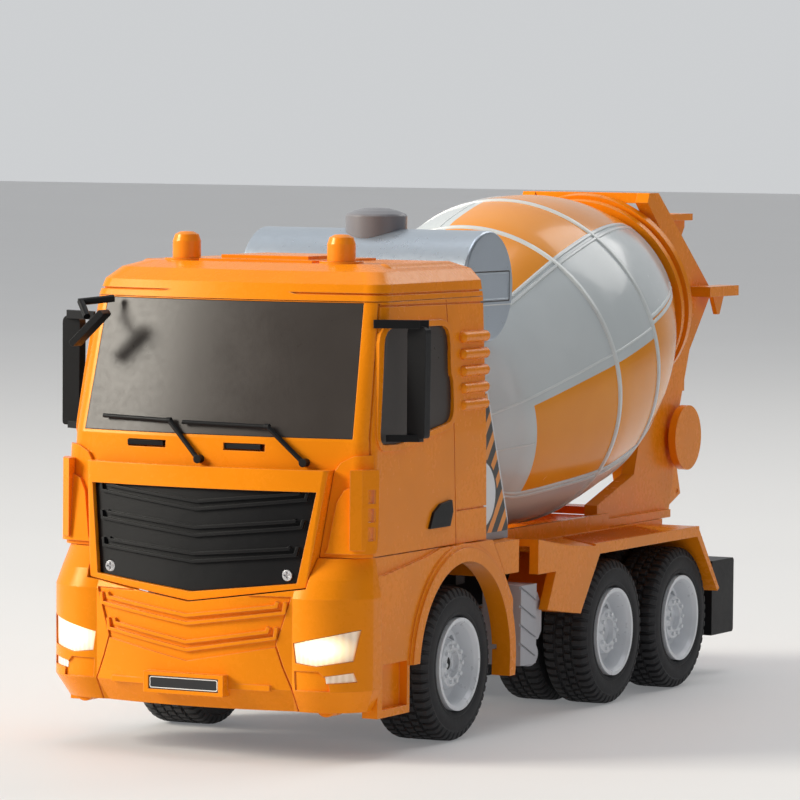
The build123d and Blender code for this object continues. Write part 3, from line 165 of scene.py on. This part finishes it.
def moulded(name, colour, rough=0.3, coat=0.0, spread=0.06, grain=2600.0, grain_depth=0.05,
            edge=0.3, metallic=0.0, round_by=0.0004, base=None, rough_spread=0.08, specular=0.5,
            tint=(1.0, 1.0, 1.0)):
    """Moulded or sprayed plastic: faint flow marks, fine grain, softened edges lightened by a painted
    highlight.
    """
    m = Nodes(name)
    blotch = m.noise(28.0, 3.0)
    fine = m.noise(grain, 2.0)
    plain = m.mix(m.ramp(blotch, 0.3, 0.7, 0.0, 1.0), rgba(colour, 1 - spread), rgba(colour, 1 + spread))
    if base:
        plain = base(m, blotch)
    rounded = m.add("Bevel", 0, {"Radius": round_by}, samples=4)
    flat = m.add("NewGeometry", "Normal", {})
    agree = m.add("VectorMath", "Value", {0: rounded, 1: flat}, operation="DOT_PRODUCT")
    # painted highlight: where the rounded normal parts from the flat one, the colour is lightened by up to
    # edge, standing in for light caught on rounded edges
    painted_edge_highlight = m.ramp(agree, 0.99, 0.80, 0.0, edge)
    light = m.mix(0.5, plain, (1, 1, 1, 1)) if base else rgba([0.55 * c + 0.45 for c in colour])
    m.set(m.shader.inputs["Base Color"], m.mix(painted_edge_highlight, plain, light))
    scuffs = m.noise(420.0, 4.0)
    m.set(m.shader.inputs["Roughness"], m.ramp(m.math("MULTIPLY_ADD", scuffs, 0.5, m.math(
        "MULTIPLY", blotch, 0.5)), 0.3, 0.7, rough - rough_spread * 0.4, rough + rough_spread))
    bump = m.add("Bump", 0, {"Strength": grain_depth, "Distance": 0.0002, "Height": fine, "Normal": rounded})
    m.set(m.shader.inputs["Normal"], bump)
    m.shader.inputs["Metallic"].default_value = metallic
    m.shader.inputs["Coat Weight"].default_value = coat
    m.shader.inputs["Coat Roughness"].default_value = 0.06
    m.shader.inputs["Specular IOR Level"].default_value = specular
    m.shader.inputs["Specular Tint"].default_value = rgba(tint)
    return m


BULB = (0.053, 0.0, 0.0435)     # middle of a headlight's glow, taken on either side
HALO_CORE, HALO_REACH = 0.0035, 0.0125
ORANGE = (0.86, 0.25, 0.006)
orange = moulded("orange_moulded_plastic", ORANGE, rough=0.24, edge=0.2, specular=0.30,
                  tint=(1.0, 0.6, 0.25)).material
beacon = moulded("beacon_plastic", (0.90, 0.26, 0.010), rough=0.22, edge=0.2,
                  tint=(1.0, 0.7, 0.4)).material
black = moulded("black_moulded_plastic", (0.010, 0.010, 0.011), rough=0.38, grain_depth=0.12, edge=0.07,
                spread=0.15, specular=0.14).material
tinted = moulded("tinted_panel", (0.052, 0.044, 0.040), rough=0.30, grain_depth=0.03, edge=0.05, spread=0.1,
                 specular=0.22).material
silver = moulded("silver_sprayed_plastic", (0.48, 0.54, 0.61), rough=0.28, metallic=0.75, grain=5200.0,
                 grain_depth=0.12, specular=0.35).material
grey = moulded("grey_moulded_plastic", (0.42, 0.42, 0.45), rough=0.38, metallic=0.05).material
rim_grey = moulded("rim_plastic", (0.74, 0.76, 0.79), rough=0.28, metallic=0.10, edge=0.35).material
steel = moulded("bright_steel", (0.55, 0.55, 0.57), rough=0.28, metallic=1.0).material
nylon = moulded("natural_nylon", (0.72, 0.72, 0.66), rough=0.45).material
rubber = moulded("tyre_compound", (0.026, 0.026, 0.028), rough=0.62, grain=1800.0, grain_depth=0.3,
                 edge=0.1, spread=0.25, rough_spread=0.12, specular=0.35).material
red_lens = moulded("red_lens", (0.5, 0.012, 0.01), rough=0.15, coat=0.6).material
wrap = moulded("battery_wrap", (0.02, 0.11, 0.36), rough=0.25).material
board = moulded("circuit_green", (0.02, 0.16, 0.06), rough=0.5).material
plate_black = moulded("plate_black", (0.012, 0.012, 0.014), rough=0.3).material
label_white = moulded("label_white", (0.80, 0.80, 0.78), rough=0.35, edge=0.0).material
rib_white = moulded("drum_rib_white", (0.66, 0.69, 0.69), rough=0.3, coat=0.2, edge=0.1).material


def lamp_material():
    """Lit lens: a warm glow round each bulb, fading into ribbed clear plastic."""
    m = Nodes("lamp_lens")
    place = m.add("VectorMath", 0, {0: m.coords}, operation="ABSOLUTE")
    off = m.add("VectorMath", 0, {0: place, 1: BULB}, operation="SUBTRACT")
    squashed = m.add("VectorMath", 0, {0: off, 1: (1.0, 0.0, 1.7)}, operation="MULTIPLY")
    distance = m.add("VectorMath", "Value", {0: squashed}, operation="LENGTH")
    ribs = m.add("TexWave", 0, {"Vector": m.coords, "Scale": 160.0, "Distortion": 0.4})
    halo = m.ramp(distance, HALO_CORE, HALO_REACH, 1.0, 0.0)
    glass = m.mix(ribs, (0.62, 0.60, 0.55, 1), (0.78, 0.77, 0.74, 1))
    m.set(m.shader.inputs["Base Color"], m.mix(halo, glass, (1.0, 0.90, 0.62, 1)))
    m.set(m.shader.inputs["Emission Color"], m.mix(halo, (1.0, 0.52, 0.12, 1), (1.0, 0.86, 0.55, 1)))
    glow = m.math("MULTIPLY_ADD", m.math("POWER", halo, 1.5), 1.7, 0.22)
    m.set(m.shader.inputs["Emission Strength"], glow)
    m.set(m.shader.inputs["Roughness"], m.ramp(m.noise(300.0), 0.3, 0.7, 0.08, 0.2))
    m.shader.inputs["Coat Weight"].default_value = 0.6
    ribbed = m.add("Bump", 0, {"Strength": 0.15, "Distance": 0.0004, "Height": ribs})
    m.set(m.shader.inputs["Normal"], ribbed)
    return m.material


# The drum's printed fields: four equal sectors round its axis.
SECTOR = pi / 2
RIB_TURN = radians(38)          # the first double rib, from straight up towards the truck's left
FIELD_START, FIELD_STEP, FIELD_END = radians(45.5), radians(-6.5), radians(89)
RING_FRONT, RING_REAR = 55, 92.5            # the raised rings, in millimetres along the axis


def drum_fields(m, blotch):
    placed = m.add("VectorMath", 0, {0: m.coords, 1: tuple(DRUM_O)}, operation="SUBTRACT")
    along = m.add("VectorMath", "Value", {0: placed, 1: tuple(DRUM_DIR)}, operation="DOT_PRODUCT")
    height = m.add("VectorMath", "Value", {0: placed, 1: tuple(DRUM_UP)}, operation="DOT_PRODUCT")
    side = m.add("SeparateXYZ", 0, {0: placed})
    turn = m.math("ARCTAN2", side, height)
    phase = m.math("WRAP", m.math("SUBTRACT", turn, RIB_TURN), SECTOR, 0.0)
    behind = m.math("GREATER_THAN", along, RING_REAR * MM)
    start = m.math("MULTIPLY_ADD", behind, FIELD_STEP, FIELD_START)
    field = m.math("MULTIPLY", m.math("GREATER_THAN", phase, start), m.math("LESS_THAN", phase, FIELD_END))
    field = m.math("MULTIPLY", field, m.math("GREATER_THAN", along, 0.0005))
    white = m.mix(m.ramp(blotch, 0.3, 0.7, 0, 1), (0.56, 0.60, 0.61, 1), (0.62, 0.66, 0.67, 1))
    print_orange = m.mix(m.ramp(blotch, 0.3, 0.7, 0, 1), (0.80, 0.27, 0.010, 1), (0.86, 0.31, 0.014, 1))
    return m.mix(field, white, print_orange)


drum_paint = moulded("drum_printed_plastic", (0.6, 0.64, 0.65), rough=0.2, coat=0.2, edge=0.0,
                     specular=0.35, base=drum_fields).material


OVAL_MIDDLE, OVAL_HALF = (-0.0872, 0.0935), (0.0150, 0.0138)      # (y, z)
PANEL_CORNER, PANEL_TOP, FOOT_TOP = (-0.0606, 0.083), 0.1344, 0.0782
TRIANGLE_BASE = 0.1165
BLACK_INK, WHITE_INK = (0.012, 0.011, 0.010, 1), (0.72, 0.73, 0.75, 1)


def hazard_fields(m, blotch):
    """Slanted stripes with a white edge, a plain white oval and triangle, and a grey foot."""
    place = m.tree.nodes.new("ShaderNodeSeparateXYZ")
    m.set(place.inputs[0], m.coords)
    y, z = place.outputs[1], place.outputs[2]
    slant = m.math("MULTIPLY_ADD", y, -1.25, z)
    stripe = m.math("LESS_THAN", m.math("WRAP", slant, 0.0115, 0.0), 0.0052)
    yellow = m.mix(m.ramp(blotch, 0.3, 0.7, 0, 1), (0.76, 0.24, 0.012, 1), (0.84, 0.29, 0.02, 1))
    field = m.mix(stripe, BLACK_INK, yellow)
    across = m.math("DIVIDE", m.math("SUBTRACT", y, OVAL_MIDDLE[0]), OVAL_HALF[0])
    up = m.math("DIVIDE", m.math("SUBTRACT", z, OVAL_MIDDLE[1]), OVAL_HALF[1])
    oval = m.math("ADD", m.math("MULTIPLY", across, across), m.math("MULTIPLY", up, up))
    field = m.mix(m.math("LESS_THAN", oval, 1.18), field, BLACK_INK)
    field = m.mix(m.math("LESS_THAN", oval, 1.0), field, WHITE_INK)
    above = m.math("SUBTRACT", z, TRIANGLE_BASE)
    under_side = m.math("SUBTRACT", m.math("MULTIPLY_ADD", y, -1.35, -0.1115), above)
    inside = m.math("MINIMUM", above, under_side)
    field = m.mix(m.math("GREATER_THAN", inside, -0.0008), field, BLACK_INK)
    field = m.mix(m.math("GREATER_THAN", inside, 0.0), field, WHITE_INK)
    past_edge = m.math("ADD", m.math("MULTIPLY", m.math("SUBTRACT", y, PANEL_CORNER[0]), 0.936),
                       m.math("MULTIPLY", m.math("SUBTRACT", z, PANEL_CORNER[1]), 0.353))
    rim = m.math("MAXIMUM", past_edge, m.math("SUBTRACT", z, PANEL_TOP))
    field = m.mix(m.math("GREATER_THAN", rim, -0.0010), field, (0.60, 0.61, 0.63, 1))
    return m.mix(m.math("LESS_THAN", z, FOOT_TOP), field, (0.22, 0.22, 0.24, 1))


hazard = moulded("hazard_stripes", (0.8, 0.4, 0.03), rough=0.3, edge=0.0, base=hazard_fields).material

LOOKS = {
    "orange_plastic": orange, "beacon_orange": beacon, "black_plastic": black, "tinted_panel": tinted,
    "drum_white": rib_white, "silver_plastic": silver, "grey_plastic": grey, "rim_grey": rim_grey,
    "tyre_rubber": rubber, "steel": steel, "gear_plastic": nylon, "lamp_clear": lamp_material(),
    "lamp_red": red_lens, "hazard_label": hazard, "battery_wrap": wrap, "board_green": board,
}
for row in frame["record"]["subparts"]:
    node = nodes[row["node"]]
    look_for_node = LOOKS[row["material_slot"]]
    if not node.material_slots:
        node.data.materials.append(None)
    for held in node.material_slots:
        held.material = look_for_node
nodes["number_plate"].material_slots[0].material = plate_black
cap_grey = moulded("cap_plastic", (0.20, 0.20, 0.22), rough=0.3, specular=0.4).material
nodes["tank_cap"].material_slots[0].material = cap_grey


# ---- mesh helpers ----------------------------------------------------------------------
def piece(name, mesh, material, body, sharp=35):
    """Puts a finished mesh in the scene as a piece of the object."""
    mesh.materials.append(material)
    mesh.polygons.foreach_set("use_smooth", [True] * len(mesh.polygons))
    mesh.set_sharp_from_angle(angle=radians(sharp))
    obj = bpy.data.objects.new(name, mesh)
    bpy.context.scene.collection.objects.link(obj)
    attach(obj, body)
    return obj


def skin(name, rows, loop_rows=False, loop_points=True, caps=False):
    """A mesh through rows of points; either way round may close on itself."""
    mesh = bpy.data.meshes.new(name)
    bm = bmesh.new()
    grid = [[bm.verts.new(p) for p in row] for row in rows]
    count, width = len(grid), len(grid[0])
    for i in range(count if loop_rows else count - 1):
        for j in range(width if loop_points else width - 1):
            a, b = grid[i], grid[(i + 1) % count]
            bm.faces.new((a[j], a[(j + 1) % width], b[(j + 1) % width], b[j]))
    if caps:
        bm.faces.new(grid[0])
        bm.faces.new(list(reversed(grid[-1])))
    bmesh.ops.recalc_face_normals(bm, faces=bm.faces)
    bm.to_mesh(mesh)
    bm.free()
    return mesh


def turned(name, profile, origin, axis, start, segments, closed=True):
    """A profile of (along, radius) turned about axis; start is the direction of angle 0."""
    other = axis.cross(start)
    rows = []
    for k in range(segments):
        angle = 2 * pi * k / segments
        out = start * cos(angle) + other * sin(angle)
        rows.append([origin + axis * a + out * r for a, r in profile])
    return skin(name, rows, loop_rows=True, loop_points=closed)


# ---- floor -----------------------------------------------------------------------------
def make_floor():
    m = Nodes("pale_floor")
    cloud = m.noise(3.0, 4.0)
    m.set(m.shader.inputs["Base Color"], m.mix(cloud, (0.57, 0.56, 0.55, 1), (0.63, 0.62, 0.61, 1)))
    m.shader.inputs["Emission Color"].default_value = (0.95, 0.97, 1.0, 1)
    m.shader.inputs["Emission Strength"].default_value = 0.16
    m.set(m.shader.inputs["Roughness"], m.ramp(cloud, 0.3, 0.7, 0.55, 0.7))
    size = 14.0
    mesh = skin("floor", [[(-size, -size, 0), (size, -size, 0)], [(-size, size, 0), (size, size, 0)]],
                loop_points=False)
    mesh.materials.append(m.material)
    floor = bpy.data.objects.new("floor", mesh)
    bpy.context.scene.collection.objects.link(floor)


make_floor()

# ---- drum ------------------------------------------------------------------------------
# (along the axis, radius), in millimetres
DRUM_OUTLINE = [(-34, 13), (-33, 26), (-29, 33), (-22, 39), (-10, 46), (0, 51.5), (27, 58.6), (55, 64.6),
                (73, 66.0), (91.7, 65.8), (108, 63.6), (124, 59.6), (138, 54.8), (150, 49.4), (158, 45.6),
                (163.5, 43.5)]
WALL = 1.8


def smooth_line(points, steps):
    """A Catmull-Rom line through the points."""
    ends = [points[0], *points, points[-1]]
    line = []
    for k in range(1, len(ends) - 2):
        p0, p1, p2, p3 = (Vector(p) for p in ends[k - 1:k + 3])
        for step in range(steps):
            t = step / steps
            line.append(0.5 * (2 * p1 + (p2 - p0) * t + (2 * p0 - 5 * p1 + 4 * p2 - p3) * t * t
                               + (3 * p1 - p0 - 3 * p2 + p3) * t ** 3))
    line.append(Vector(points[-1]))
    return [tuple(p) for p in line]


drum_line = smooth_line(DRUM_OUTLINE, 6)


def drum_radius(s):
    """Outer radius of the drum at s, in millimetres."""
    for (s0, r0), (s1, r1) in zip(drum_line, drum_line[1:]):
        if s0 <= s <= s1:
            return r0 + (r1 - r0) * (s - s0) / max(1e-9, s1 - s0)
    return drum_line[-1][1]


def drum_place(s, r, angle):
    """A point on the drum: angle 0 is up, a quarter turn is the truck's left."""
    out = DRUM_UP * cos(angle) + Vector((1, 0, 0)) * sin(angle)
    return DRUM_O + DRUM_DIR * (s * MM) + out * (r * MM)


def make_drum():
    neck = [(164.2, 38.5), (182.2, 38.5), (183.0, 38.1), (183.0, 36.9), (182.2, 36.7), (163.6, 36.7)]
    inner = [(s, r - WALL) for s, r in reversed(drum_line) if 162 > s > -20]
    profile = [(-34, 8), *drum_line, *neck, *inner, (-22, 36), (-30, 26), (-32, 8)]
    scaled = [(s * MM, r * MM) for s, r in profile]
    mesh = turned("drum_body", scaled, DRUM_O, DRUM_DIR, DRUM_UP, 160)
    body = piece("drum_body", mesh, drum_paint, "drum", sharp=50)
    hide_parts("drum_shell")
    for name, s, half, high in (("ring_front", RING_FRONT, 1.3, 0.75), ("ring_rear", RING_REAR, 1.3, 0.75)):
        section = [(s - half, drum_radius(s) - 0.6), (s - half, drum_radius(s) + 0.1),
                   (s - half * 0.6, drum_radius(s) + high), (s + half * 0.6, drum_radius(s) + high),
                   (s + half, drum_radius(s) + 0.1), (s + half, drum_radius(s) - 0.6)]
        scaled = [(a * MM, r * MM) for a, r in section]
        mesh = turned(name, scaled, DRUM_O, DRUM_DIR, DRUM_UP, 160)
        piece(name, mesh, rib_white, "drum", sharp=50)
    # each rib: turn in degrees, where it starts and stops along the axis, half width, height
    ribs = [(0, -8, 160, 0.8, 0.55), (2.3, -8, 160, 0.8, 0.55), (41.5, -24, 91, 0.55, 0.3),
            (38.0, 94, 160, 0.8, 0.55), (40.3, 94, 160, 0.8, 0.55), (63, -25, -1, 0.5, 0.25)]
    for sector in range(4):
        for number, (turn, s_low, s_high, wide, high) in enumerate(ribs):
            middle = RIB_TURN + sector * SECTOR + radians(turn)
            rows = []
            count = int((s_high - s_low) / 4)
            for k in range(count + 1):
                s = s_low + (s_high - s_low) * k / count
                r = drum_radius(s)
                section = [(-1, -0.5), (-1, 0.2 * high), (-0.6, high), (0.6, high), (1, 0.2 * high),
                           (1, -0.5)]
                rows.append([drum_place(s, r + up, middle + wide * a / r) for a, up in section])
            name = f"drum_rib_{sector}_{number}"
            piece(name, skin(name, rows, caps=True), rib_white, "drum", sharp=50)


make_drum()

# ---- tyres -----------------------------------------------------------------------------
BLOCKS = 48                     # tread blocks round a tyre
STEPS = 8                       # points along each block
NOTCH_SHARE = 0.3               # how much of a block's length its notch takes
TREAD_R, GROOVE_R, SIPE_R = 30.0, 28.6, 28.8                      # millimetres
SHOULDER = 6.6
OUTER_FACE, INNER_FACE = 0.065, 0.042       # |x| of the outer and the inner tyres' outer faces


def tyre_mesh(name, width):
    """A tyre about the x axis, outer face at x = 0, with blocks and sipes cut in the tread."""
    # each row: distance in from the outer face, radius, radius in a notch, shift of x in a notch, phase
    edge = [(2.2, 17.6, 17.6, 0, 0), (2.2, 18.5, 18.5, 0, 0), (1.1, 18.7, 18.7, 0, 0),
            (0.45, 19.3, 19.3, 0, 0), (0.2, 20.3, 20.3, 0, 0), (0.45, 20.7, 20.7, 0, 0),
            (0.15, 21.4, 21.4, 0, 0), (0.0, 23.2, 23.2, 0, 0), (0.1, 24.8, 24.8, 0, 0),
            (0.35, 25.9, 25.9, 0, 0), (0.15, 26.3, 26.3, 0, 0),
            (0.35, 27.2, 27.0, 0.5, 0), (0.8, 28.5, 27.9, 0.9, 0), (1.7, 29.5, 28.4, 0.8, 0),
            (2.9, 29.9, GROOVE_R, 0.2, 0), (5.6, TREAD_R, GROOVE_R, 0, 0), (5.9, GROOVE_R, GROOVE_R, 0, 0)]
    lanes = 3 if width > 22 else 2
    lane = (width - 2 * SHOULDER) / lanes
    tread = []
    for k in range(lanes):
        start = SHOULDER + lane * k
        phase = 0.5 if k % 2 == 0 else 0.15
        tread += [(start, GROOVE_R, GROOVE_R, 0, phase), (start + 0.25, TREAD_R, SIPE_R, 0, phase),
                  (start + lane - 0.85, TREAD_R, SIPE_R, 0, phase),
                  (start + lane - 0.6, GROOVE_R, GROOVE_R, 0, phase)]
    other = [(width - x, r, low, -shift, phase + 0.5) for x, r, low, shift, phase in reversed(edge)]
    rows = []
    for j in range(BLOCKS * STEPS):
        angle = 2 * pi * j / (BLOCKS * STEPS)
        row = []
        for x, r, low, shift, phase in edge + tread + other:
            notch = ((j / STEPS + phase) % 1) < NOTCH_SHARE
            radius = low if notch else r
            inwards = x + (shift if notch else 0)
            row.append((-inwards * MM, radius * MM * cos(angle), radius * MM * sin(angle)))
        rows.append(row)
    return skin(name, rows, loop_rows=True)


def place_tyre(name, mesh, face_x, side, axle_y, body, replaced):
    tyre = bpy.data.objects.new(name, mesh)
    bpy.context.scene.collection.objects.link(tyre)
    turn = Matrix.Rotation(0 if side > 0 else pi, 4, "Z")
    tyre.matrix_world = Matrix.Translation((side * face_x, axle_y, TYRE_R)) @ turn
    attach(tyre, body)
    if replaced:
        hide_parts(replaced)


def make_tyres():
    meshes = {width: tyre_mesh(f"tyre_{width}", width) for width in (25, 20)}
    for mesh in meshes.values():
        mesh.materials.append(rubber)
        mesh.polygons.foreach_set("use_smooth", [True] * len(mesh.polygons))
        mesh.set_sharp_from_angle(angle=radians(28))
    for side, word in ((1, "left"), (-1, "right")):
        low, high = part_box(f"tyre_front_{word}")
        place_tyre(f"front_tyre_{word}", meshes[25], OUTER_FACE, side, (low.y + high.y) / 2,
                   f"wheel_front_{word}", f"tyre_front_{word}")
        for axle in ("mid", "rear"):
            low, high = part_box(f"tyres_{axle}")
            for place, face in (("outer", OUTER_FACE), ("inner", INNER_FACE)):
                first = side > 0 and place == "outer"
                place_tyre(f"{axle}_tyre_{word}_{place}", meshes[20], face, side, (low.y + high.y) / 2,
                           f"axle_set_{axle}", f"tyres_{axle}" if first else None)


make_tyres()


# ---- anti-slip ribs on the fenders -------------------------------------------------------
HATCH_TOP = 0.0675
HATCH_X, HATCH_Y = (0.040, 0.0655), (0.009, 0.108)
HATCH_STEP = 0.0021
HATCH_HALF, HATCH_HIGH, HATCH_DEEP = 0.0004, 0.00045, 0.0003     # half width, height, depth sunk in


def make_hatch():
    """Slanted ribs, each running from the deck's outer edge inwards and back."""
    x_in, x_out = HATCH_X
    slant = x_out - x_in
    along = Vector((slant, -slant, 0)).normalized()
    across_rib = Vector((-along.y, along.x, 0)) * HATCH_HALF
    up, down = Vector((0, 0, HATCH_HIGH)), Vector((0, 0, HATCH_DEEP))
    for side, word in ((1, "left"), (-1, "right")):
        mesh = bpy.data.meshes.new(f"hatch_{word}")
        bm = bmesh.new()
        for k in range(int((HATCH_Y[1] - HATCH_Y[0] - slant) / HATCH_STEP)):
            y = HATCH_Y[0] + k * HATCH_STEP
            grid = []
            for middle in (Vector((x_in, y + slant, HATCH_TOP)), Vector((x_out, y, HATCH_TOP))):
                row = [middle - across_rib - down, middle - across_rib * 0.5 + up,
                       middle + across_rib * 0.5 + up, middle + across_rib - down]
                grid.append([bm.verts.new((side * p.x, p.y, p.z)) for p in row])
            for j in range(4):
                bm.faces.new((grid[0][j], grid[0][(j + 1) % 4], grid[1][(j + 1) % 4], grid[1][j]))
            bm.faces.new(grid[0])
            bm.faces.new(list(reversed(grid[1])))
        bmesh.ops.recalc_face_normals(bm, faces=bm.faces)
        bm.to_mesh(mesh)
        bm.free()
        piece(f"hatch_{word}", mesh, orange, "truck")


make_hatch()


# ---- plates and frames -------------------------------------------------------------------
def ring(name, outer, inner, height, place, material):
    """A raised flat border between two outlines; place turns (u, v, up) into a point."""
    rows = []
    for outline, up in ((outer, -0.2), (outer, height), (inner, height), (inner, -0.2)):
        rows.append([place(u, v, up) for u, v in outline])
    return piece(name, skin(name, rows, loop_rows=True), material, "truck")


def oblong(half_u, half_v, corner=0.8, steps=4):
    """A rectangle with rounded corners, centred."""
    points = []
    for quarter, (su, sv) in enumerate(((1, 1), (-1, 1), (-1, -1), (1, -1))):
        for step in range(steps + 1):
            angle = pi / 2 * (quarter + step / steps)
            points.append((su * (half_u - corner) + corner * cos(angle),
                           sv * (half_v - corner) + corner * sin(angle)))
    return points


SEAM_DROP = 7.4                 # the tank's seam below its label, in millimetres


def make_plates():
    """A border on the number plate, and a blank label with a seam under it on each end of the tank."""
    low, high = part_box("number_plate")
    middle_z = (low.z + high.z) / 2

    def on_number_plate(u, v, up):
        return Vector((u * MM, low.y - up * MM, middle_z + v * MM))

    ring("number_plate_border", oblong(14.6, 2.2), oblong(14.2, 1.8, 0.5), 0.12, on_number_plate,
         label_white)
    low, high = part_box("water_tank")
    tank_y, tank_z = (low.y + high.y) / 2, (low.z + high.z) / 2
    for side, word, end in ((1, "left", high.x), (-1, "right", low.x)):
        def on_tank(u, v, up):
            return Vector((end + side * up * MM, tank_y + u * MM, tank_z + v * MM))

        ring(f"tank_label_rim_{word}", oblong(18.6, 6.2), oblong(18.0, 5.6, 0.5), 0.14, on_tank,
             plate_black)
        ring(f"tank_label_lip_{word}", oblong(17.9, 5.5, 0.5), oblong(17.2, 4.9, 0.4), 0.10, on_tank,
             silver)
        ring(f"tank_seam_{word}", oblong(20.1, 0.22, 0.1), oblong(20.0, 0.02, 0.01), 0.12,
             lambda u, v, up: on_tank(u, v - SEAM_DROP, up), label_white)


make_plates()
